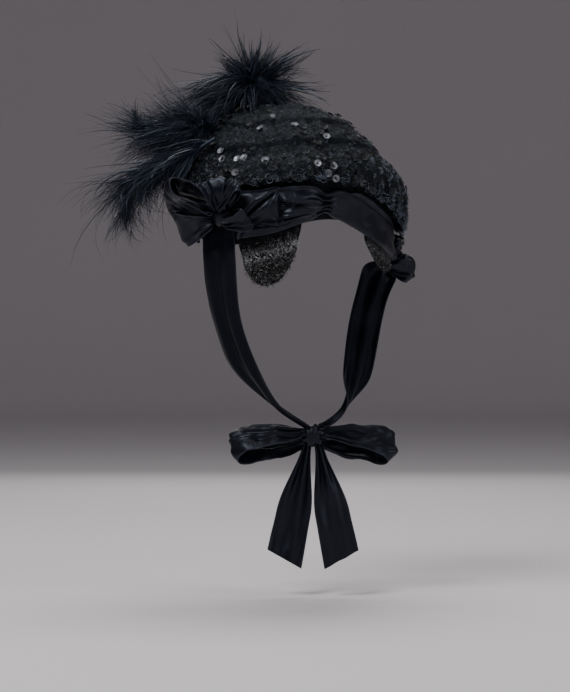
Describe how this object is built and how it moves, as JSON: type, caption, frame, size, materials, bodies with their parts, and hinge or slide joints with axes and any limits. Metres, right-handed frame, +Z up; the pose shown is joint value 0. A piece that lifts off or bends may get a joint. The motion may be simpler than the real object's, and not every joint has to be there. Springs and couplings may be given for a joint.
{
  "type": "bonnet",
  "caption": "Black lace and satin bonnet with a tiered crown, lace flounce, ribbon bows, plush nape tabs, ostrich plumes and ties in a bow under the chin.",
  "frame": {"origin": "inside top of the crown, where the bonnet sits on the head", "axes": "+Z up, the wearer faces -Y, +X is the wearer's left"},
  "size_m": [0.3002, 0.2017, 0.4781],
  "materials": {
    "lace": "black lace over net, dull with glints",
    "satin": "black silk satin, soft gloss",
    "plush": "curled plush pile with pale glints",
    "beading": "glossy jet beads and cup sequins",
    "feather": "dyed ostrich barbs, soft sheen"
  },
  "bodies": {
    "root": {"crown": "lace", "lace_flounce": "lace", "nape_tab_left": "plush", "nape_tab_right": "plush", "satin_band": "satin", "tie_left": "satin", "tie_right": "satin", "bow_knot": "satin", "bow_loop_front_low": "satin", "bow_loop_front": "satin", "bow_loop_top": "satin", "bow_loop_back": "satin", "bow_loop_low": "satin", "rosette_knot": "satin", "rosette_loop_front": "satin", "rosette_loop_front_low": "satin", "rosette_loop_standing": "satin", "chin_knot": "satin", "chin_loop_left": "satin", "chin_loop_right": "satin", "tail_left": "satin", "tail_right": "satin", "front_edging": "beading", "plume_top": "feather", "plume_side_upper": "feather", "plume_side_lower": "feather"}
  },
  "joints": []
}
